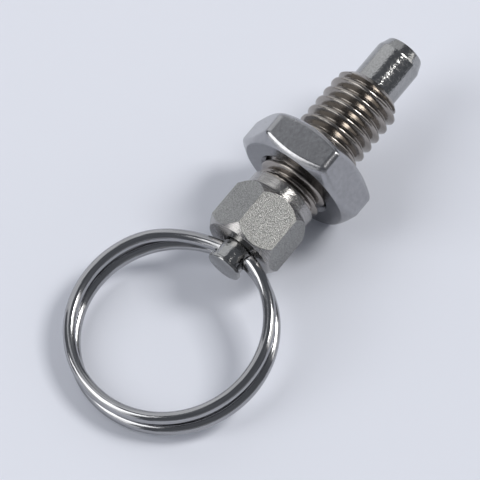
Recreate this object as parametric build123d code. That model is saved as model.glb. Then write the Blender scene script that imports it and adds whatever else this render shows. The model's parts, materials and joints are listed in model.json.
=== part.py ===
from build123d import *
import os
from math import asin, atan, cos, degrees, pi, radians, sin, sqrt, tan

# Index plunger: a spring-loaded locking pin in a threaded hexagon body, with a thin
# lock nut and a split pull ring through the tail of the pin.
# Everything is drawn in the plunger's own frame: X runs along the axis towards the nose,
# X = 0 is the rear face of the hexagon and Z is up. At the end the plunger is laid on
# the ground the way it comes to rest, on the lock nut and on the far side of the ring.
# All sizes are in millimetres and degrees.

# ---- Threaded body: one turned piece, hexagon, shank, thread and bore ----
HEX_FLATS = 6.0              # width across the flats
HEX_LENGTH = 4.75
HEX_CHAMFER_DIAMETER = 5.86  # circle where the end chamfers start
HEX_CHAMFER_ANGLE = 55.0     # from the end face
HEX_TURN = 25.2              # roll of the hexagon from corners pointing sideways
SHANK_DIAMETER = 5.8
SHANK_END = 5.72
RELIEF_DIAMETER = 5.1        # thread run-out groove
RELIEF_END = 5.95
THREAD_DIAMETER = 5.9        # over the crests of the M6 thread
THREAD_ROOT_DIAMETER = 4.84
THREAD_PITCH = 1.0
THREAD_PHASE = 4.72          # where the ridge would cross the left side, run back
THREAD_END = 16.5            # of the full crests; the front taper starts here
RIDGE_ROOT_WIDTH = 0.82
RIDGE_CREST_WIDTH = 0.2
RIDGE_RUN_IN = 0.25          # from the run-out groove to the first crest
RIDGE_START_HEIGHT = 0.05
RIDGE_BURIED = 0.08          # how far the ridge reaches into the core
THREAD_STEPS = 16            # short lengths in each turn of the ridge
BODY_LENGTH = 17.1
FRONT_DIAMETER = 4.75        # rim of the tapered front end
REAR_WALL = 4.8              # guides the stem, and the spring pushes against it
LIP_LENGTH = 0.55            # rolled lip in front of the pin's collar

# ---- Lock nut: thin M6 hexagon nut ----
NUT_FLATS = 10.0
NUT_THICKNESS = 3.2
NUT_CHAMFER_DIAMETER = 9.5
NUT_CHAMFER_ANGLE = 30.0     # from the end face
NUT_REAR = 7.05              # where it stands on the thread
NUT_COUNTERSINK = 6.5
NUT_CLEARANCE = 0.05         # radial, over the crests

# ---- Plunger pin: one turned piece, nose, stem, neck and head ----
NOSE_DIAMETER = 4.0
NOSE_REACH = 4.4             # how far it stands out of the body
NOSE_END_DIAMETER = 3.25
NOSE_CHAMFER = 0.95
GUIDED_LENGTH = 3.0          # from the collar's rear to the front of the body
COLLAR_DIAMETER = 4.32       # slides in the bore, and stops against the lip
COLLAR_GAP = 0.03
GROOVE_DIAMETER = 3.6        # run-out groove between the nose and the collar
GROOVE_SHOWING = 0.12        # of its width, in front of the body
STEM_DIAMETER = 3.0
NECK_DIAMETER = 2.6
NECK_FRONT = 0.25
HEAD_LENGTH = 0.32
TAIL_REACH = 2.0             # how far the pin stands out behind the hexagon
GUIDE_CLEARANCE = 0.04       # radial, of collar, nose and stem in the body
EDGE_BREAK = 0.08

# ---- Split pull ring: two turns of round wire ----
RING_WIRE = 1.03
RING_RADIUS = 7.98           # of the wire's centre line
RING_PITCH = 1.05            # drop from one turn to the next
RING_ROLL = 2.2              # of the cross-hole and the ring about the axis
RING_DIP = 3.7               # of the ring below the axis
RING_SEAT = 0.05             # lower turn's nearest point, ahead of the hole's centre
TURN_SLIP_BACK = 0.24        # how far the lower turn lies behind the upper one
TURN_SLIP_LEFT = 0.40        # how far the upper turn lies to the left of the hole
TURN_SLIP_RIGHT = 0.05       # how far the lower turn lies to the right of the hole
RING_END_GAP = 1.62          # from the axis to the cut ends of the wire
RING_END_BREAK = 0.12        # chamfer round the cut ends
RING_STEPS = 72              # short lengths that the two turns are bent in
RING_SIDES = 16              # flats round the wire
HOLE_DIAMETER = 1.25         # cross-hole in the neck
HOLE_CENTRE = -0.61

# ---- Compression spring ----
SPRING_WIRE = 0.4
SPRING_MEAN_DIAMETER = 3.56
SPRING_ACTIVE_TURNS = 7
CLOSED_TURN_RISE = 1.05      # of an end turn, in wire diameters
SPRING_STEPS = 16            # short lengths that each turn is bent in
SPRING_SEAT_GAP = 0.03       # off the rear wall and the shoulder

FULL_TURN = 360


def turned(*outline):
    """A solid of revolution about X from (x, radius) points, closed along the axis."""
    with BuildPart() as piece:
        with BuildSketch(Plane.XY):
            with BuildLine():
                Polyline(*outline, close=True)
            make_face()
        revolve(axis=Axis.X)
    return piece.part


def chamfered_hexagon(flats, rear, front, chamfer_diameter, chamfer_angle, roll):
    """A hexagon bar along X whose corners are turned off by a cone at both ends."""
    corner = flats / sqrt(3) + 1
    chamfer_radius = chamfer_diameter / 2
    run = (corner - chamfer_radius) * tan(radians(chamfer_angle))
    with BuildPart() as bar:
        with BuildSketch(Plane.YZ.offset(rear)):
            RegularPolygon(flats / 2, 6, major_radius=False, rotation=roll)
        extrude(amount=front - rear)
    cone = turned(
        (rear, 0),
        (rear, chamfer_radius),
        (rear + run, corner),
        (front - run, corner),
        (front, chamfer_radius),
        (front, 0),
    )
    return bar.part & cone


def bent_wire(points, section):
    """Wire bent through the points in short mitred lengths, which keeps its facets few."""
    path = Polyline(*points)
    start = Plane(origin=path @ 0, z_dir=path % 0)
    return sweep(start * section, path=path, transition=Transition.RIGHT)


def smooth_step(value):
    """0 up to 0, 1 from 1 on, and level at both ends."""
    t = min(max(value, 0), 1)
    return t * t * (3 - 2 * t)


# ---- Threaded body ----
def front_taper(x):
    """Radius of the tapered front end, where it is less than the crests."""
    crest = THREAD_DIAMETER / 2
    slope = (crest - FRONT_DIAMETER / 2) / (BODY_LENGTH - THREAD_END)
    return min(crest, crest - slope * (x - THREAD_END))


def ridge_section(turn):
    """Trapezium across the thread's ridge, a number of turns from the left side."""
    x = THREAD_PHASE + THREAD_PITCH * turn
    root = THREAD_ROOT_DIAMETER / 2
    full_height = THREAD_DIAMETER / 2 - root
    run_in = RIDGE_START_HEIGHT + max(0, x - RELIEF_END - RIDGE_RUN_IN)
    height = min(front_taper(x) - root, run_in, full_height)
    flank = (RIDGE_ROOT_WIDTH - RIDGE_CREST_WIDTH) / 2 / full_height
    top = RIDGE_ROOT_WIDTH / 2 - flank * height
    foot = RIDGE_ROOT_WIDTH / 2 + flank * RIDGE_BURIED
    section = Polygon(
        (-foot, root - RIDGE_BURIED),
        (foot, root - RIDGE_BURIED),
        (top, root + height),
        (-top, root + height),
        align=None,
    )
    return Pos(x, 0, 0) * Rot(FULL_TURN * turn, 0, 0) * section


def thread_ridge(last):
    """Right-hand helical ridge of the M6 thread, up to a place on the axis."""
    first = RELIEF_END + RIDGE_RUN_IN
    turns = (last - first) / THREAD_PITCH
    steps = round(turns * THREAD_STEPS)
    start = (first - THREAD_PHASE) / THREAD_PITCH
    return loft([ridge_section(start + turns * i / steps) for i in range(steps + 1)], ruled=True)


def threaded_body():
    hexagon = chamfered_hexagon(
        HEX_FLATS, 0, HEX_LENGTH, HEX_CHAMFER_DIAMETER, HEX_CHAMFER_ANGLE, HEX_TURN
    )
    root = THREAD_ROOT_DIAMETER / 2
    relief = RELIEF_DIAMETER / 2
    taper = (THREAD_DIAMETER - FRONT_DIAMETER) / 2 / (BODY_LENGTH - THREAD_END)
    root_end = THREAD_END + (THREAD_DIAMETER / 2 - root) / taper
    shank = turned(
        (HEX_LENGTH / 2, 0),
        (HEX_LENGTH / 2, SHANK_DIAMETER / 2),
        (SHANK_END, SHANK_DIAMETER / 2),
        (SHANK_END, relief),
        (RELIEF_END, relief),
        (RELIEF_END, root),
        (root_end, root),
        (BODY_LENGTH, FRONT_DIAMETER / 2),
        (BODY_LENGTH, 0),
    )
    bore = COLLAR_DIAMETER / 2 + GUIDE_CLEARANCE
    lip = NOSE_DIAMETER / 2 + GUIDE_CLEARANCE
    stem_hole = STEM_DIAMETER / 2 + GUIDE_CLEARANCE
    inside = turned(
        (-1, 0),
        (-1, stem_hole),
        (REAR_WALL, stem_hole),
        (REAR_WALL, bore),
        (BODY_LENGTH - LIP_LENGTH, bore),
        (BODY_LENGTH - LIP_LENGTH, lip),
        (BODY_LENGTH + 1, lip),
        (BODY_LENGTH + 1, 0),
    )
    return hexagon + shank + thread_ridge(root_end - RIDGE_RUN_IN) - inside


# ---- Lock nut ----
def lock_nut():
    front = NUT_REAR + NUT_THICKNESS
    hexagon = chamfered_hexagon(
        NUT_FLATS, NUT_REAR, front, NUT_CHAMFER_DIAMETER, NUT_CHAMFER_ANGLE, 0
    )
    bore = THREAD_DIAMETER / 2 + NUT_CLEARANCE
    mouth = NUT_COUNTERSINK / 2
    sink = mouth - bore
    hole = turned(
        (NUT_REAR - 1, 0),
        (NUT_REAR - 1, mouth),
        (NUT_REAR, mouth),
        (NUT_REAR + sink, bore),
        (front - sink, bore),
        (front, mouth),
        (front + 1, mouth),
        (front + 1, 0),
    )
    return hexagon - hole


# ---- Plunger pin ----
def plunger_pin():
    tip = BODY_LENGTH + NOSE_REACH
    shoulder = BODY_LENGTH - GUIDED_LENGTH
    nose = NOSE_DIAMETER / 2
    stem = STEM_DIAMETER / 2
    neck = NECK_DIAMETER / 2
    groove = GROOVE_DIAMETER / 2
    groove_front = BODY_LENGTH + GROOVE_SHOWING
    collar = COLLAR_DIAMETER / 2
    collar_front = BODY_LENGTH - LIP_LENGTH - COLLAR_GAP
    head_front = HEAD_LENGTH - TAIL_REACH
    pin = turned(
        (-TAIL_REACH, 0),
        (-TAIL_REACH, stem - EDGE_BREAK),
        (EDGE_BREAK - TAIL_REACH, stem),
        (head_front, stem),
        (head_front, neck),
        (NECK_FRONT, neck),
        (NECK_FRONT, stem),
        (shoulder, stem),
        (shoulder, collar),
        (collar_front, collar),
        (collar_front, groove),
        (groove_front, groove),
        (groove_front, nose),
        (tip - NOSE_CHAMFER, nose),
        (tip, NOSE_END_DIAMETER / 2),
        (tip, 0),
    )
    hole_way = Plane(origin=(HOLE_CENTRE, 0, 0), z_dir=ring_sideways())
    hole = hole_way * Cylinder(HOLE_DIAMETER / 2, STEM_DIAMETER + 1)
    return pin - hole


# ---- Split pull ring ----
def ring_sideways():
    """Direction of the cross-hole, level but for the pin's own roll."""
    return Vector(0, -cos(radians(RING_ROLL)), sin(radians(RING_ROLL)))


def ring_frame():
    """Directions from the hole to the far end of the ring, sideways and upwards."""
    sideways = ring_sideways()
    level_up = Vector(0, sin(radians(RING_ROLL)), cos(radians(RING_ROLL)))
    dip = radians(RING_DIP)
    outwards = Vector(-1, 0, 0) * cos(dip) - level_up * sin(dip)
    upwards = level_up * cos(dip) - Vector(1, 0, 0) * sin(dip)
    return outwards, sideways, upwards


def ring_centre_line():
    """Two turns, starting above the hole on the right and ending below it on the left.

    The wire passes the hole once, after the first turn. Just before the hole it swings
    over from the upper turn's centre to the lower one's.
    """
    outwards, sideways, upwards = ring_frame()
    hole = Vector(HOLE_CENTRE, 0, 0)
    swing_start = FULL_TURN - 60
    swing_end = FULL_TURN - 12
    first = degrees(asin((RING_END_GAP + TURN_SLIP_LEFT) / RING_RADIUS))
    last = 2 * FULL_TURN - degrees(asin((RING_END_GAP + TURN_SLIP_RIGHT) / RING_RADIUS))
    points = []
    for i in range(RING_STEPS + 1):
        turn = first + (last - first) * i / RING_STEPS
        angle = radians(turn)
        lower = smooth_step((turn - swing_start) / (swing_end - swing_start))
        back = RING_RADIUS * (1 - cos(angle)) - RING_SEAT - TURN_SLIP_BACK * (1 - lower)
        slip = TURN_SLIP_RIGHT * lower - TURN_SLIP_LEFT * (1 - lower)
        right = RING_RADIUS * sin(angle) + slip
        level = RING_PITCH * (1 - turn / FULL_TURN)
        points.append(hole + outwards * back + sideways * right + upwards * level)
    return points


def pull_ring():
    line = ring_centre_line()
    ring = bent_wire(line, RegularPolygon(RING_WIRE / 2, RING_SIDES, major_radius=False))
    faces = ring.faces()
    cut_ends = [faces.sort_by_distance(point)[0] for point in (line[0], line[-1])]
    return chamfer([edge for face in cut_ends for edge in face.edges()], RING_END_BREAK)


# ---- Compression spring ----
def compression_spring():
    """One closed turn at each end and open turns between them, at the resting length.

    The wire's section is an octagon round the real wire.
    """
    radius = SPRING_MEAN_DIAMETER / 2
    start = REAR_WALL + SPRING_SEAT_GAP + SPRING_WIRE / 2
    end = BODY_LENGTH - GUIDED_LENGTH - SPRING_SEAT_GAP - SPRING_WIRE / 2
    closed_rise = SPRING_WIRE * CLOSED_TURN_RISE
    open_rise = (end - start - 2 * closed_rise) / SPRING_ACTIVE_TURNS
    steps = (SPRING_ACTIVE_TURNS + 2) * SPRING_STEPS
    x = start
    points = []
    for i in range(steps + 1):
        angle = 2 * pi * i / SPRING_STEPS
        points.append(Vector(x, radius * cos(angle), radius * sin(angle)))
        closed = i < SPRING_STEPS or i >= steps - SPRING_STEPS
        x += (closed_rise if closed else open_rise) / SPRING_STEPS
    return bent_wire(points, RegularPolygon(SPRING_WIRE / 2, 8, major_radius=False))


# ---- Laying the plunger down ----
def resting_tilt():
    """Angle at which the nut's lower rear edge and the ring's far side both touch ground."""
    edge_back = (NUT_FLATS - NUT_CHAMFER_DIAMETER) / 2 * tan(radians(NUT_CHAMFER_ANGLE))
    nut_edge = Vector(NUT_REAR + edge_back, 0, -NUT_FLATS / 2)
    line = ring_centre_line()
    tilt = 0.0
    for _ in range(20):
        t = radians(tilt)
        up = Vector(sin(t), 0, cos(t))
        lowest = min(line, key=lambda point: point.dot(up))
        gap = lowest.dot(up) - RING_WIRE / 2 - nut_edge.dot(up)
        tilt += degrees(atan(gap / (nut_edge.X - lowest.X)))
    return tilt


pieces = {
    "threaded_body": threaded_body(),
    "lock_nut": lock_nut(),
    "plunger_pin": plunger_pin(),
    "pull_ring": pull_ring(),
    "compression_spring": compression_spring(),
}

tilt = resting_tilt()
laid = {name: Rot(0, -tilt, 0) * piece for name, piece in pieces.items()}
box = Compound(list(laid.values())).bounding_box()
place = Pos(-box.center().X, -box.center().Y, -box.min.Z)

os.makedirs("parts", exist_ok=True)
for name, piece in laid.items():
    export_step(place * piece, f"parts/{name}.step")
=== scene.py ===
import json
from math import asin, atan2, cos, degrees, hypot, pi, radians, sin, sqrt, tan

import bmesh
import bpy
from mathutils import Matrix, Vector


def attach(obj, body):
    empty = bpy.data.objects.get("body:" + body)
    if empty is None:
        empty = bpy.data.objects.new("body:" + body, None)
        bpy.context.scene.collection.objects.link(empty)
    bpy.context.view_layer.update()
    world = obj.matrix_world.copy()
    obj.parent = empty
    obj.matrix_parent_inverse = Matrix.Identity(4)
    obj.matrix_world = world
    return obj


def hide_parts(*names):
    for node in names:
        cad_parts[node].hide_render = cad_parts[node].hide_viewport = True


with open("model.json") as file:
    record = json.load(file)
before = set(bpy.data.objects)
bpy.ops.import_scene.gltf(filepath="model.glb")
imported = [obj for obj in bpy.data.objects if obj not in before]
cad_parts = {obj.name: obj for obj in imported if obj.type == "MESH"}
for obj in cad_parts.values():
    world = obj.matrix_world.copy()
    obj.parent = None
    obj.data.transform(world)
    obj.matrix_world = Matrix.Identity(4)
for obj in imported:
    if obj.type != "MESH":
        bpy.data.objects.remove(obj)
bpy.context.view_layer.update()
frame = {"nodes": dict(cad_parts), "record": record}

# ---------------------------------------------------------------------------
# Threaded body. One piece turned from hexagon bar of stainless steel: the flats
# keep the grainy skin of the bar, and the chamfers, shank, run-out groove, M6
# thread and tapered front end are cut on the lathe. Bored from the front.
# ---------------------------------------------------------------------------

BODY_LENGTH = 17.1
HEXAGON_LENGTH = 4.75
HEXAGON_FLATS = 6.0
HEXAGON_TURN = 25.2
CHAMFER_RADIUS = 2.93
CHAMFER_SLOPE = tan(radians(55))
STEM_HOLE_RADIUS = 1.54
REAR_WALL = 4.8
BORE_RADIUS = 2.2
LIP_RADIUS = 2.04
LIP_LENGTH = 0.55
SHANK_RADIUS = 2.9
SHANK_END = 5.72
RELIEF_RADIUS = 2.55
CREST_RADIUS = 2.95
ROOT_RADIUS = 2.38
THREAD_PITCH = 1.0
THREAD_START = 5.95
FIRST_CREST_BELOW = 4.47
THREAD_TAPER = 16.5
THREAD_FREE_FROM = 10.25
FRONT_RADIUS = 2.375
STEM_HOLE_EDGE = 0.05
CORNER_LOOP = 0.05
SHANK_EDGE = 0.06
BAR_EDGE_BREAK = 0.08
BODY_SEGMENTS = 360

# The plunger is drawn in millimetres along its own axis, with the rear face of the
# hexagon at zero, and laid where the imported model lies.
thread_mount = next(m for m in frame["record"]["mounts"] if m["name"] == "mounting_thread")
forward = Vector(thread_mount["axis"]).normalized()
leftward = Vector((0, 1, 0))
upward = forward.cross(leftward)
turn_down = Matrix((forward, leftward, upward)).transposed()
lie = (
    Matrix.Translation(Vector(thread_mount["pos_m"]))
    @ turn_down.to_4x4()
    @ Matrix.Scale(0.001, 4)
    @ Matrix.Translation((-THREAD_FREE_FROM, 0, 0))
)


def round_loop(bm, x, radius, segments):
    """An open circle of edges across the axis."""
    across = Matrix.Translation((x, 0, 0)) @ Matrix.Rotation(pi / 2, 4, "Y")
    ring = bmesh.ops.create_circle(bm, segments=segments, radius=radius, matrix=across)
    return list({edge for vert in ring["verts"] for edge in vert.link_edges})


def turn_on(bm, edges, x, radius):
    """Extrude a loop to its next place; x and radius may depend on the angle."""
    made = bmesh.ops.extrude_edge_only(bm, edges=edges)["geom"]
    for vert in (g for g in made if isinstance(g, bmesh.types.BMVert)):
        angle = atan2(vert.co.z, vert.co.y)
        r = radius(angle) if callable(radius) else radius
        vert.co = (x(angle) if callable(x) else x, r * cos(angle), r * sin(angle))
    return [g for g in made if isinstance(g, bmesh.types.BMEdge) and g.is_boundary]


def hexagon_radius(flats, turn, rounding=0.0):
    """Distance from the axis to the flats, by angle; corners lie at turn and every 60."""
    centre = (flats / 2 - rounding) / cos(radians(30))
    flat_ends = degrees(atan2((flats / 2 - rounding) * tan(radians(30)), flats / 2))

    def at(angle):
        off = (degrees(angle) - turn) % 60 - 30
        if abs(off) < flat_ends:
            return flats / 2 / cos(radians(off))
        swing = radians(30 - abs(off))
        return centre * cos(swing) + sqrt(rounding ** 2 - (centre * sin(swing)) ** 2)
    return at


def shade_edges(bm, angle):
    """Shade smoothly, but keep every edge sharper than the angle."""
    for face in bm.faces:
        face.smooth = True
    for edge in bm.edges:
        edge.smooth = len(edge.link_faces) != 2 or edge.calc_face_angle() < radians(angle)


def break_edges(bm, width, segments, angle):
    """Round every edge sharper than the angle, as tumbling does."""
    sharp = [
        e for e in bm.edges if len(e.link_faces) == 2 and e.calc_face_angle() > radians(angle)
    ]
    bmesh.ops.bevel(
        bm, geom=sharp, offset=width, affect="EDGES", segments=segments, profile=0.5,
        material=-1, clamp_overlap=True,
    )


def hand_over(bm, name, body, node, material):
    """Lay a finished mesh down and let it stand for its node."""
    bmesh.ops.transform(bm, matrix=lie, verts=bm.verts)
    mesh = bpy.data.meshes.new(name)
    bm.to_mesh(mesh)
    bm.free()
    piece = bpy.data.objects.new(name, mesh)
    bpy.context.scene.collection.objects.link(piece)
    mesh.materials.append(material)
    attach(piece, body)
    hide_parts(node)
    return piece


# Most finishes read the plunger's own millimetres, with X along the axis.
def plunger_millimetres(nodes, links):
    where = nodes.new("ShaderNodeTexCoord")
    mapping = nodes.new("ShaderNodeMapping")
    mapping.inputs["Scale"].default_value = (1000, 1000, 1000)
    back = turn_down.transposed()
    mapping.inputs["Rotation"].default_value = back.to_euler("XYZ")
    mapping.inputs["Location"].default_value = -(back @ (lie.translation * 1000))
    links.new(where.outputs["Object"], mapping.inputs["Vector"])
    return mapping.outputs["Vector"]


LINE_STRETCH = 50
STAINS_PER_MM = 0.45
SCUFFS_PER_MM = 3.6


def metal_grain_group():
    """Turning lines round the axis, a fine even grain, faint stains and duller scuffs."""
    group = bpy.data.node_groups.new("metal_grain", "ShaderNodeTree")
    sockets = group.interface
    sockets.new_socket("Millimetres", in_out="INPUT", socket_type="NodeSocketVector")
    for name, value in (
        ("Lines per mm", 12.0), ("Line depth", 0.5), ("Grains per mm", 9.0),
        ("Grain depth", 0.5), ("Speckle", 0.2), ("Roughness", 0.25), ("Roughness spread", 0.1),
        ("Scuffs", 0.1),
    ):
        socket = sockets.new_socket(name, in_out="INPUT", socket_type="NodeSocketFloat")
        socket.default_value = value
    sockets.new_socket("Tint", in_out="INPUT", socket_type="NodeSocketColor")
    sockets.new_socket("Color", in_out="OUTPUT", socket_type="NodeSocketColor")
    sockets.new_socket("Roughness", in_out="OUTPUT", socket_type="NodeSocketFloat")
    sockets.new_socket("Height", in_out="OUTPUT", socket_type="NodeSocketFloat")
    nodes, links = group.nodes, group.links
    given = nodes.new("NodeGroupInput")
    out = nodes.new("NodeGroupOutput")

    def combined(a, b, how):
        node = nodes.new("ShaderNodeMath")
        node.operation = how
        for socket, value in zip(node.inputs, (a, b)):
            if hasattr(value, "is_linked"):
                links.new(value, socket)
            else:
                socket.default_value = value
        return node.outputs[0]

    def noise(vector, scale, detail):
        node = nodes.new("ShaderNodeTexNoise")
        node.inputs["Detail"].default_value = detail
        links.new(vector, node.inputs["Vector"])
        if hasattr(scale, "is_linked"):
            links.new(scale, node.inputs["Scale"])
        else:
            node.inputs["Scale"].default_value = scale
        return node.outputs["Fac"]

    squeeze = nodes.new("ShaderNodeVectorMath")
    squeeze.operation = "MULTIPLY"
    squeeze.inputs[1].default_value = (1, 1 / LINE_STRETCH, 1 / LINE_STRETCH)
    links.new(given.outputs["Millimetres"], squeeze.inputs[0])
    lines = noise(squeeze.outputs[0], given.outputs["Lines per mm"], 3)
    grain = noise(given.outputs["Millimetres"], given.outputs["Grains per mm"], 2)
    stains = noise(given.outputs["Millimetres"], STAINS_PER_MM, 4)
    line_height = combined(lines, given.outputs["Line depth"], "MULTIPLY")
    grain_height = combined(grain, given.outputs["Grain depth"], "MULTIPLY")
    height = combined(line_height, grain_height, "ADD")
    links.new(height, out.inputs["Height"])
    stained = combined(stains, 0.5, "SUBTRACT")
    spread = combined(stained, given.outputs["Roughness spread"], "MULTIPLY")
    rough = combined(given.outputs["Roughness"], spread, "ADD")
    scuffed = nodes.new("ShaderNodeMapRange")
    scuffed.inputs["From Min"].default_value = 0.5
    scuffed.inputs["From Max"].default_value = 0.6
    scuffs = noise(given.outputs["Millimetres"], SCUFFS_PER_MM, 2)
    links.new(scuffs, scuffed.inputs["Value"])
    scuff = combined(scuffed.outputs["Result"], given.outputs["Scuffs"], "MULTIPLY")
    links.new(combined(rough, scuff, "ADD"), out.inputs["Roughness"])
    shade = nodes.new("ShaderNodeMapRange")
    shade.inputs["From Min"].default_value = 0.3
    shade.inputs["From Max"].default_value = 0.7
    shade.inputs["To Min"].default_value = 0.92
    shade.inputs["To Max"].default_value = 1.04
    links.new(stains, shade.inputs["Value"])
    speckled = combined(grain, 0.5, "SUBTRACT")
    specks = combined(speckled, given.outputs["Speckle"], "MULTIPLY")
    tone = nodes.new("ShaderNodeVectorMath")
    tone.operation = "SCALE"
    links.new(given.outputs["Tint"], tone.inputs[0])
    links.new(combined(shade.outputs["Result"], specks, "ADD"), tone.inputs["Scale"])
    links.new(tone.outputs[0], out.inputs["Color"])
    return group


metal_grain = metal_grain_group()


def steel(
    name, tint, roughness, spread, lines, line_depth, grains, grain_depth, speckle, bump,
    scuffs=0.04, pattern_place=plunger_millimetres,
):
    """A metal finish. Lines and grains are counted per millimetre, the bump is in metres."""
    material = bpy.data.materials.new(name)
    material.use_nodes = True
    nodes, links = material.node_tree.nodes, material.node_tree.links
    shader = nodes["Principled BSDF"]
    shader.inputs["Metallic"].default_value = 1.0
    surface = nodes.new("ShaderNodeGroup")
    surface.node_tree = metal_grain
    links.new(pattern_place(nodes, links), surface.inputs["Millimetres"])
    for socket, value in (
        ("Lines per mm", lines), ("Line depth", line_depth), ("Grains per mm", grains),
        ("Grain depth", grain_depth), ("Speckle", speckle), ("Roughness", roughness),
        ("Roughness spread", spread), ("Scuffs", scuffs),
    ):
        surface.inputs[socket].default_value = value
    surface.inputs["Tint"].default_value = (*tint, 1)
    relief = nodes.new("ShaderNodeBump")
    relief.inputs["Strength"].default_value = 1.0
    relief.inputs["Distance"].default_value = bump
    links.new(surface.outputs["Color"], shader.inputs["Base Color"])
    links.new(surface.outputs["Roughness"], shader.inputs["Roughness"])
    links.new(surface.outputs["Height"], relief.inputs["Height"])
    links.new(relief.outputs["Normal"], shader.inputs["Normal"])
    return material


bar_skin = steel(
    "grainy_bar_skin", tint=(0.33, 0.33, 0.32), roughness=0.41, spread=0.1, lines=14,
    line_depth=0.05, grains=12, grain_depth=1.0, speckle=2.3, bump=0.000055,
)
turned_steel = steel(
    "turned_steel", tint=(0.39, 0.38, 0.37), roughness=0.17, spread=0.08, lines=14,
    line_depth=1.0, grains=9, grain_depth=0.3, speckle=0.2, bump=0.00005,
)
thread_steel = steel(
    "cut_thread_steel", tint=(0.34, 0.315, 0.29), roughness=0.17, spread=0.08, lines=22,
    line_depth=0.5, grains=9, grain_depth=0.5, speckle=0.3, bump=0.00001,
)

# Hexagon and shank, bored through. The flats meet the turned chamfers in bowed edges.
corners = hexagon_radius(HEXAGON_FLATS, HEXAGON_TURN)


def rear_cone(angle):
    return (corners(angle) - CHAMFER_RADIUS) * CHAMFER_SLOPE


def front_cone(angle):
    return HEXAGON_LENGTH - rear_cone(angle)


hexagon = bmesh.new()
loop = round_loop(hexagon, REAR_WALL, STEM_HOLE_RADIUS, BODY_SEGMENTS)
bmesh.ops.rotate(
    hexagon, cent=(0, 0, 0), matrix=Matrix.Rotation(radians(HEXAGON_TURN), 3, "X"),
    verts=hexagon.verts,
)
first = list(loop)
for x, radius in (
    (STEM_HOLE_EDGE, STEM_HOLE_RADIUS), (0.0, STEM_HOLE_RADIUS + STEM_HOLE_EDGE),
    (0.0, CHAMFER_RADIUS), (rear_cone, corners), (front_cone, corners),
    (HEXAGON_LENGTH, CHAMFER_RADIUS), (HEXAGON_LENGTH, SHANK_RADIUS),
    (HEXAGON_LENGTH + CORNER_LOOP, SHANK_RADIUS), (SHANK_END - 2 * SHANK_EDGE, SHANK_RADIUS),
    (SHANK_END - SHANK_EDGE, SHANK_RADIUS), (SHANK_END, SHANK_RADIUS - SHANK_EDGE),
    (SHANK_END, BORE_RADIUS), (REAR_WALL, BORE_RADIUS),
):
    loop = turn_on(hexagon, loop, x, radius)
bmesh.ops.bridge_loops(hexagon, edges=loop + first)
bmesh.ops.recalc_face_normals(hexagon, faces=hexagon.faces)
break_edges(hexagon, width=BAR_EDGE_BREAK, segments=1, angle=20)
shade_edges(hexagon, angle=12)
bar = hand_over(hexagon, "hexagon_and_shank", "body", "threaded_body", turned_steel)
bar.data.materials.append(bar_skin)
LEVEL_ALONG_AXIS = 0.08
INSIDE_FLATS = HEXAGON_FLATS / 2 - 0.03
stand_up = lie.inverted()
turn_up = turn_down.transposed()
for face in bar.data.polygons:
    middle = stand_up @ face.center
    on_hexagon = 0 < middle.x < HEXAGON_LENGTH and hypot(middle.y, middle.z) > INSIDE_FLATS
    if on_hexagon and abs((turn_up @ face.normal).x) < LEVEL_ALONG_AXIS:
        face.material_index = 1

# Thread: one turn of its outline, copied forward and trimmed at both ends. The outline
# runs from the middle of the crest, by distance along the axis and share of the depth.
half_outline = (
    (0.0, 1.0), (0.055, 1.0), (0.085, 0.985), (0.11, 0.95), (0.18, 0.82), (0.26, 0.62),
    (0.34, 0.40), (0.41, 0.18), (0.44, 0.08), (0.47, 0.02), (0.5, 0.0),
)
STEPS_PER_TURN = 120
TURNS = 14
MERGE_DISTANCE = 0.0005
RUN_IN_SLOPE = 1.2
THREAD_BACK = SHANK_END - 0.02
depth = CREST_RADIUS - ROOT_RADIUS
outline = [(-x, ROOT_RADIUS + depth * h) for x, h in reversed(half_outline[1:])]
outline += [(x, ROOT_RADIUS + depth * h) for x, h in half_outline]
thread = bmesh.new()
verts = [thread.verts.new((x + FIRST_CREST_BELOW, 0, -r)) for x, r in outline]
pitch_edges = [thread.edges.new(pair) for pair in zip(verts, verts[1:])]
bmesh.ops.spin(
    thread, geom=verts + pitch_edges, cent=(0, 0, 0), axis=(1, 0, 0),
    dvec=(THREAD_PITCH / STEPS_PER_TURN, 0, 0), angle=2 * pi, steps=STEPS_PER_TURN,
    use_merge=False, use_duplicate=False,
)
one_turn = thread.verts[:] + thread.edges[:] + thread.faces[:]
for turn in range(1, TURNS):
    copied = bmesh.ops.duplicate(thread, geom=one_turn)["geom"]
    bmesh.ops.translate(
        thread, vec=(THREAD_PITCH * turn, 0, 0),
        verts=[g for g in copied if isinstance(g, bmesh.types.BMVert)],
    )
bmesh.ops.remove_doubles(thread, verts=thread.verts, dist=MERGE_DISTANCE)
for x, side in ((THREAD_BACK, -1), (BODY_LENGTH, 1)):
    bmesh.ops.bisect_plane(
        thread, geom=thread.verts[:] + thread.edges[:] + thread.faces[:],
        plane_co=(x, 0, 0), plane_no=(side, 0, 0), clear_outer=True,
    )
taper = (CREST_RADIUS - FRONT_RADIUS) / (BODY_LENGTH - THREAD_TAPER)
for vert in thread.verts:
    r = hypot(vert.co.y, vert.co.z)
    highest = CREST_RADIUS - max(0, vert.co.x - THREAD_TAPER) * taper
    run_in = RELIEF_RADIUS + max(0, vert.co.x - THREAD_START) * RUN_IN_SLOPE
    trimmed = min(r, highest, run_in) if vert.co.x > THREAD_START else RELIEF_RADIUS
    vert.co.y *= trimmed / r
    vert.co.z *= trimmed / r


def rim_at(x):
    """The open edges of the thread at one end."""
    return [
        e for e in thread.edges if e.is_boundary and all(abs(v.co.x - x) < 1e-4 for v in e.verts)
    ]


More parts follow.
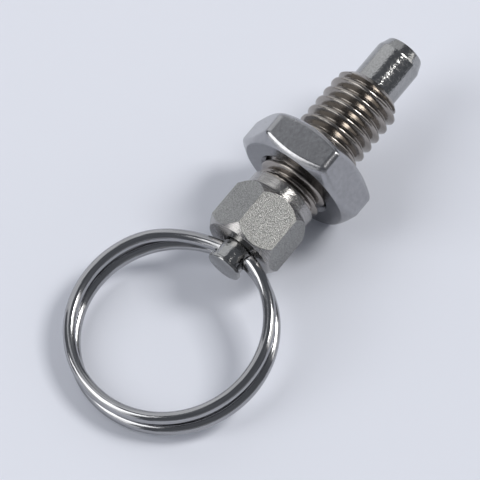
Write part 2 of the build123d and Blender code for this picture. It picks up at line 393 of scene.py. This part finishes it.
turn_on(thread, rim_at(THREAD_BACK), THREAD_BACK, BORE_RADIUS)
LIP_EDGE = 0.06
loop = rim_at(BODY_LENGTH)
for x, radius in (
    (BODY_LENGTH, LIP_RADIUS + LIP_EDGE), (BODY_LENGTH - LIP_EDGE, LIP_RADIUS),
    (BODY_LENGTH - LIP_LENGTH, LIP_RADIUS), (BODY_LENGTH - LIP_LENGTH, BORE_RADIUS),
    (BODY_LENGTH / 2, BORE_RADIUS), (THREAD_BACK, BORE_RADIUS),
):
    loop = turn_on(thread, loop, x, radius)
bmesh.ops.remove_doubles(thread, verts=thread.verts, dist=MERGE_DISTANCE)
bmesh.ops.recalc_face_normals(thread, faces=thread.faces)
shade_edges(thread, angle=40)
hand_over(thread, "m6_thread", "body", "threaded_body", thread_steel)

# ---------------------------------------------------------------------------
# Lock nut. A thin M6 nut cold-formed in stainless steel, both faces chamfered
# at 30 degrees and all edges softened by tumbling. It is screwed on the thread.
# ---------------------------------------------------------------------------

NUT_REAR = 7.05
NUT_FRONT = 10.25
NUT_FLATS = 10.0
NUT_CORNER_ROUNDING = 0.6
NUT_CHAMFER_RADIUS = 4.75
NUT_CHAMFER_SLOPE = tan(radians(30))
NUT_EDGE_BLEND = 0.6
NUT_EDGE_STEP = 0.03
NUT_EDGE_STEPS = 33
NUT_BORE_RADIUS = 3.0
NUT_COUNTERSINK = 3.25
NUT_SINK_DEPTH = NUT_COUNTERSINK - NUT_BORE_RADIUS
NUT_END_FACE = NUT_CHAMFER_RADIUS - 0.2
NUT_SEGMENTS = 480

nut_corners = hexagon_radius(NUT_FLATS, 0, NUT_CORNER_ROUNDING)


def nut_radius(from_end):
    """Flats and chamfer blended into one soft edge, a distance in from either end face."""
    cone = NUT_CHAMFER_RADIUS + from_end / NUT_CHAMFER_SLOPE

    def at(angle):
        flat = nut_corners(angle)
        blend = max(0, 1 - abs(flat - cone) / NUT_EDGE_BLEND)
        return min(flat, cone) - blend ** 2 * NUT_EDGE_BLEND / 4
    return at


bright_steel = steel(
    "tumbled_bright_steel", tint=(0.38, 0.38, 0.39), roughness=0.22, spread=0.08, lines=6,
    line_depth=0.1, grains=3, grain_depth=0.5, speckle=0.3, bump=0.000008,
)
side_steps = [NUT_EDGE_STEP * i for i in range(NUT_EDGE_STEPS)]
side = [(NUT_REAR + d, nut_radius(d)) for d in side_steps]
side += [(NUT_FRONT - d, nut_radius(d)) for d in reversed(side_steps)]
nut = bmesh.new()
loop = round_loop(nut, NUT_REAR + NUT_SINK_DEPTH, NUT_BORE_RADIUS, NUT_SEGMENTS)
first = list(loop)
for x, radius in (
    (NUT_REAR, NUT_COUNTERSINK), (NUT_REAR, NUT_END_FACE), *side,
    (NUT_FRONT, NUT_END_FACE), (NUT_FRONT, NUT_COUNTERSINK),
    (NUT_FRONT - NUT_SINK_DEPTH, NUT_BORE_RADIUS),
):
    loop = turn_on(nut, loop, x, radius)
bmesh.ops.bridge_loops(nut, edges=loop + first)
bmesh.ops.recalc_face_normals(nut, faces=nut.faces)
shade_edges(nut, angle=24)
hand_over(nut, "lock_nut_dressed", "nut", "lock_nut", bright_steel)

# ---------------------------------------------------------------------------
# Plunger pin. Turned and ground from stainless steel: the nose with its lead
# chamfer, the stem inside, and the necked tail with its head, cross-drilled for
# the ring. It slides in the body against the spring.
# ---------------------------------------------------------------------------

NOSE_RADIUS = 2.0
NOSE_TIP = 21.5
NOSE_END_RADIUS = 1.625
NOSE_CHAMFER = 0.95
SHOULDER = 14.1
COLLAR_RADIUS = 2.16
COLLAR_FRONT = 16.52
GROOVE_RADIUS = 1.8
GROOVE_FRONT = 17.22
STEM_RADIUS = 1.5
NECK_RADIUS = 1.3
TAIL_END = -2.0
HEAD_FRONT = -1.68
NECK_REAR_LOOP = -1.3
NECK_FRONT_LOOP = 0.0
NECK_FRONT = 0.25
RING_HOLE = -0.61
RING_HOLE_RADIUS = 0.625
RING_ROLL = radians(2.2)
DRILL_LENGTH = 4
DRILL_SEGMENTS = 48
CENTRE_RADIUS = 0.02
PIN_SEGMENTS = 128
HEAD_EDGE = 0.1
HEAD_INNER_EDGE = 0.06
FINE_EDGE = 0.03
CHAMFER_START = NOSE_TIP - NOSE_CHAMFER

ground_steel = steel(
    "ground_pin_steel", tint=(0.38, 0.38, 0.375), roughness=0.09, spread=0.05, lines=10,
    line_depth=0.25, grains=6, grain_depth=0.8, speckle=0.5, bump=0.00002, scuffs=0.1,
)
# From tail to nose. Steps of a few hundredths round an edge off, and a loop close beside
# it keeps the long wall next to it evenly shaded. Two loops part the neck where it is drilled.
pin = bmesh.new()
loop = round_loop(pin, TAIL_END, CENTRE_RADIUS, PIN_SEGMENTS)
bmesh.ops.edgeloop_fill(pin, edges=loop)
for x, radius in (
    (TAIL_END, STEM_RADIUS - HEAD_EDGE), (TAIL_END + FINE_EDGE, STEM_RADIUS - FINE_EDGE),
    (TAIL_END + HEAD_EDGE, STEM_RADIUS), (TAIL_END + HEAD_EDGE + 0.04, STEM_RADIUS),
    (HEAD_FRONT - HEAD_INNER_EDGE - 0.02, STEM_RADIUS), (HEAD_FRONT - HEAD_INNER_EDGE, STEM_RADIUS),
    (HEAD_FRONT, STEM_RADIUS - HEAD_INNER_EDGE), (HEAD_FRONT, NECK_RADIUS + FINE_EDGE),
    (HEAD_FRONT + FINE_EDGE, NECK_RADIUS), (NECK_REAR_LOOP, NECK_RADIUS),
    (NECK_FRONT_LOOP, NECK_RADIUS), (NECK_FRONT, NECK_RADIUS), (NECK_FRONT, STEM_RADIUS),
    (SHOULDER, STEM_RADIUS), (SHOULDER, COLLAR_RADIUS), (COLLAR_FRONT, COLLAR_RADIUS),
    (COLLAR_FRONT, GROOVE_RADIUS), (GROOVE_FRONT, GROOVE_RADIUS),
    (GROOVE_FRONT, NOSE_RADIUS - FINE_EDGE), (GROOVE_FRONT + FINE_EDGE, NOSE_RADIUS),
    (GROOVE_FRONT + 0.1, NOSE_RADIUS), (CHAMFER_START - 0.12, NOSE_RADIUS),
    (CHAMFER_START - 0.04, NOSE_RADIUS), (CHAMFER_START + 0.05, NOSE_RADIUS - 0.015),
    (CHAMFER_START + 0.12, NOSE_RADIUS - 0.045), (NOSE_TIP - 0.14, NOSE_END_RADIUS + 0.075),
    (NOSE_TIP - 0.08, NOSE_END_RADIUS + 0.05), (NOSE_TIP - 0.02, NOSE_END_RADIUS + 0.01),
    (NOSE_TIP, NOSE_END_RADIUS - 0.06), (NOSE_TIP, CENTRE_RADIUS),
):
    loop = turn_on(pin, loop, x, radius)
bmesh.ops.edgeloop_fill(pin, edges=loop)
bmesh.ops.recalc_face_normals(pin, faces=pin.faces)
shade_edges(pin, angle=34)
plunger_pin = hand_over(pin, "plunger_pin_dressed", "plunger", "plunger_pin", ground_steel)

# The hole for the ring, drilled across the neck.
drill = bmesh.new()
across = (
    Matrix.Translation((RING_HOLE, 0, 0))
    @ Matrix.Rotation(-RING_ROLL, 4, "X")
    @ Matrix.Rotation(pi / 2, 4, "X")
)
bmesh.ops.create_cone(
    drill, cap_ends=True, segments=DRILL_SEGMENTS, depth=DRILL_LENGTH,
    radius1=RING_HOLE_RADIUS, radius2=RING_HOLE_RADIUS, matrix=across,
)
bmesh.ops.transform(drill, matrix=lie, verts=drill.verts)
drill_mesh = bpy.data.meshes.new("cross_drill")
drill.to_mesh(drill_mesh)
drill.free()
drill_bit = bpy.data.objects.new("cross_drill", drill_mesh)
bpy.context.scene.collection.objects.link(drill_bit)
cut = plunger_pin.modifiers.new("cross_hole", "BOOLEAN")
cut.operation = "DIFFERENCE"
cut.solver = "EXACT"
cut.object = drill_bit
bpy.context.view_layer.update()
drilled = bpy.data.meshes.new_from_object(
    plunger_pin.evaluated_get(bpy.context.evaluated_depsgraph_get())
)
plunger_pin.modifiers.clear()
plunger_pin.data = drilled
bpy.data.objects.remove(drill_bit)

# ---------------------------------------------------------------------------
# Split pull ring. Polished stainless spring wire wound in two close turns and
# cut off square; it is threaded through the tail of the pin like a key on a ring.
# ---------------------------------------------------------------------------

WIRE_RADIUS = 0.515
RING_RADIUS = 7.98
RING_PITCH = 1.05
RING_DIP = radians(3.7)
RING_SEAT = 0.05
SLIP_BACK = 0.24
SLIP_LEFT = 0.40
SLIP_RIGHT = 0.05
SLIP_STARTS = 300
SLIP_LASTS = 48
END_GAP = 1.62
CUT_END_EDGE = 0.07
WIRE_SIDES = 28
WIRE_STEPS = 340
HALF_DEGREE = 0.5

sideways = Vector((0, -cos(RING_ROLL), sin(RING_ROLL)))
level_up = Vector((0, sin(RING_ROLL), cos(RING_ROLL)))
outwards = Vector((-1, 0, 0)) * cos(RING_DIP) - level_up * sin(RING_DIP)
ring_up = level_up * cos(RING_DIP) - Vector((1, 0, 0)) * sin(RING_DIP)


def wire_centre(turn):
    """Middle of the wire at an angle in degrees, from 0 above the hole to 720 below it."""
    angle = radians(turn)
    ease = min(max((turn - SLIP_STARTS) / SLIP_LASTS, 0), 1)
    lower = ease * ease * (3 - 2 * ease)
    back = RING_RADIUS * (1 - cos(angle)) - RING_SEAT - SLIP_BACK * (1 - lower)
    right = RING_RADIUS * sin(angle) + SLIP_RIGHT * lower - SLIP_LEFT * (1 - lower)
    level = RING_PITCH * (1 - turn / 360)
    return Vector((RING_HOLE, 0, 0)) + outwards * back + sideways * right + ring_up * level


# The drawing marks run along the wire, so they follow its own girth and length, and
# the length is pressed together to stretch them out.
ALONG_WIRE = 0.05


def wire_way(nodes, links):
    """Where a spot lies in the wire's round section and along its length."""
    marks = nodes.new("ShaderNodeAttribute")
    marks.attribute_name = "wire_way"
    return marks.outputs["Vector"]


polished_wire = steel(
    "polished_spring_wire", tint=(0.40, 0.40, 0.41), roughness=0.1, spread=0.06, lines=8,
    line_depth=0.3, grains=7, grain_depth=1.0, speckle=0.5, bump=0.000012, scuffs=0.06,
    pattern_place=wire_way,
)
start_turn = degrees(asin((END_GAP + SLIP_LEFT) / RING_RADIUS))
end_turn = 720 - degrees(asin((END_GAP + SLIP_RIGHT) / RING_RADIUS))
ring = bmesh.new()
way = ring.verts.layers.float_vector.new("wire_way")
stations = [
    start_turn + (end_turn - start_turn) * i / WIRE_STEPS for i in range(WIRE_STEPS + 1)
]
ahead = (wire_centre(start_turn + HALF_DEGREE) - wire_centre(start_turn)).normalized()
face_on = ahead.to_track_quat("Z", "Y").to_matrix().to_4x4()
first_cut = Matrix.Translation(wire_centre(start_turn)) @ face_on
circle = bmesh.ops.create_circle(
    ring, segments=WIRE_SIDES, radius=WIRE_RADIUS, cap_ends=True, matrix=first_cut
)
section = list({e for v in circle["verts"] for e in v.link_edges})
for vert in circle["verts"]:
    vert[way] = first_cut.inverted() @ vert.co
length = 0.0
for before, after in zip(stations, stations[1:]):
    made = bmesh.ops.extrude_edge_only(ring, edges=section)["geom"]
    moved = [g for g in made if isinstance(g, bmesh.types.BMVert)]
    section = [g for g in made if isinstance(g, bmesh.types.BMEdge) and g.is_boundary]
    step_ahead = wire_centre(after + HALF_DEGREE) - wire_centre(after - HALF_DEGREE)
    next_ahead = step_ahead.normalized()
    bend = ahead.rotation_difference(next_ahead).to_matrix()
    bmesh.ops.translate(ring, vec=wire_centre(after) - wire_centre(before), verts=moved)
    bmesh.ops.rotate(ring, cent=wire_centre(after), matrix=bend, verts=moved)
    length += (wire_centre(after) - wire_centre(before)).length
    for vert in moved:
        vert[way] = (*vert[way].xy, length * ALONG_WIRE)
    ahead = next_ahead
bmesh.ops.edgeloop_fill(ring, edges=section)
bmesh.ops.recalc_face_normals(ring, faces=ring.faces)
break_edges(ring, width=CUT_END_EDGE, segments=3, angle=50)
shade_edges(ring, angle=40)
hand_over(ring, "pull_ring_dressed", "ring", "pull_ring", polished_wire)

# ---------------------------------------------------------------------------
# Compression spring. Drawn stainless wire, hidden in the bore between the rear
# wall and the pin's shoulder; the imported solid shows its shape.
# ---------------------------------------------------------------------------

spring_wire = steel(
    "drawn_spring_wire", tint=(0.45, 0.45, 0.45), roughness=0.3, spread=0.1, lines=6,
    line_depth=0.3, grains=6, grain_depth=0.6, speckle=0.3, bump=0.000004,
)
spring = frame["nodes"]["compression_spring"]
spring.data.materials.clear()
spring.data.materials.append(spring_wire)

# ---------------------------------------------------------------------------
# Ground, light and camera. A plain pale sheet under soft boxes, seen from above
# and behind the pull ring with a long lens.
# ---------------------------------------------------------------------------

GROUND_REACH = 1.5
PANEL_DISTANCE = 0.5
# The view aims near the middle of the hexagon's rear face. Lengths are in metres.
VIEW_HEIGHT = radians(59.35)
VIEW_SWING = radians(51.65)
VIEW_DISTANCE = 0.4374
VIEW_WIDTH = 0.0377685
AIM_RIGHT = 0.000093
AIM_UP = 0.000707

sheet_paper = bpy.data.materials.new("pale_sheet")
sheet_paper.use_nodes = True
paper = sheet_paper.node_tree.nodes["Principled BSDF"]
paper.inputs["Base Color"].default_value = (0.766, 0.788, 0.862, 1)
paper.inputs["Roughness"].default_value = 0.9
paper.inputs["Specular IOR Level"].default_value = 0.1
ground = bmesh.new()
bmesh.ops.create_grid(ground, x_segments=1, y_segments=1, size=GROUND_REACH)
ground_mesh = bpy.data.meshes.new("pale_ground")
ground.to_mesh(ground_mesh)
ground.free()
ground_sheet = bpy.data.objects.new("pale_ground", ground_mesh)
bpy.context.scene.collection.objects.link(ground_sheet)
ground_mesh.materials.append(sheet_paper)

world = bpy.data.worlds.new("studio")
world.use_nodes = True
room = world.node_tree.nodes["Background"]
room.inputs["Color"].default_value = (0.85, 0.9, 1.0, 1)
room.inputs["Strength"].default_value = 0.17
bpy.context.scene.world = world


def soft_box(name, swing, spread, low, high, brightness, colour):
    """An upright panel half a metre off that faces the plunger.

    Swing counts from where the nose points round to the left, and spread is the width.
    Low and high are the heights of the edges. All four are angles in degrees.
    """
    swing, half, low, high = (radians(angle) for angle in (swing, spread / 2, low, high))
    light = bpy.data.lights.new(name, "AREA")
    light.shape = "RECTANGLE"
    light.size = 2 * PANEL_DISTANCE * tan(half)
    light.size_y = PANEL_DISTANCE * (tan(high) - tan(low))
    light.energy = brightness * pi * light.size * light.size_y
    light.color = colour
    panel = bpy.data.objects.new(name, light)
    towards = Vector((cos(swing), sin(swing), 0))
    panel.location = towards * PANEL_DISTANCE
    panel.location.z = PANEL_DISTANCE * (tan(high) + tan(low)) / 2
    panel.rotation_euler = (-towards).to_track_quat("-Z", "Y").to_euler()
    bpy.context.scene.collection.objects.link(panel)


WHITE = (1.0, 1.0, 1.0)
WARM_WHITE = (1.0, 0.99, 0.97)
COOL_WHITE = (0.97, 0.98, 1.0)
soft_box("left_soft_box", 137, 34, 24, 67, 3.0, WHITE)
soft_box("left_soft_box_side", 161, 14, 25, 60, 1.8, WHITE)
soft_box("right_soft_box", -37, 26, 42, 61, 16, WARM_WHITE)
soft_box("right_soft_box_side", -43, 28, 6, 44, 1.3, WARM_WHITE)
soft_box("low_left_screen", 157, 50, 2, 24, 0.8, COOL_WHITE)
soft_box("left_screen", 72, 52, 2, 67, 0.75, COOL_WHITE)
soft_box("far_screen", 28, 36, 2, 50, 0.5, COOL_WHITE)
soft_box("near_screen", -120, 90, 2, 20, 0.2, COOL_WHITE)

away = Vector((sin(VIEW_SWING), cos(VIEW_SWING), 0))
right = Vector((cos(VIEW_SWING), -sin(VIEW_SWING), 0))
look = away * cos(VIEW_HEIGHT) - Vector((0, 0, 1)) * sin(VIEW_HEIGHT)
view_up = right.cross(look)
aim = lie.translation + right * AIM_RIGHT + view_up * AIM_UP
camera = bpy.data.cameras.new("camera")
camera.sensor_width = 36
camera.lens = camera.sensor_width * VIEW_DISTANCE / VIEW_WIDTH
camera.clip_start = 0.01
viewer = bpy.data.objects.new("camera", camera)
viewer.matrix_world = Matrix.Translation(aim - look * VIEW_DISTANCE) @ Matrix(
    (right, view_up, -look)
).transposed().to_4x4()
bpy.context.scene.collection.objects.link(viewer)
bpy.context.scene.camera = viewer
bpy.context.scene.view_settings.view_transform = "Standard"
